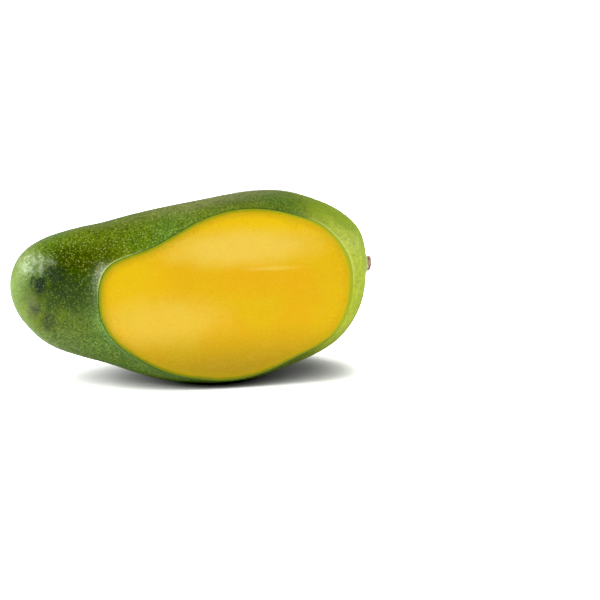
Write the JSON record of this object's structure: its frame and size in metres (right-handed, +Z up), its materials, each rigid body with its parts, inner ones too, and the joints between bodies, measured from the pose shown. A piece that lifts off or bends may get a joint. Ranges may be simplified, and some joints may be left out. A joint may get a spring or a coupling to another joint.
{
  "type": "cut mango",
  "caption": "Long green mango with one cheek sliced off, lying on its side with the yellow cut face upright and the woody stem stub left on.",
  "frame": {"origin": "middle of the bounding box on the plane that the fruit rests on", "axes": "+X from the nose to the stem, -Y out of the cut face, +Z up"},
  "size_m": [0.1542, 0.0524, 0.0804],
  "materials": {
    "skin": "waxy green fruit skin with pale specks",
    "flesh": "moist yellow cut flesh",
    "stem": "dry broken stub"
  },
  "bodies": {
    "root": {"fruit": "skin", "stem": "stem"}
  },
  "joints": []
}
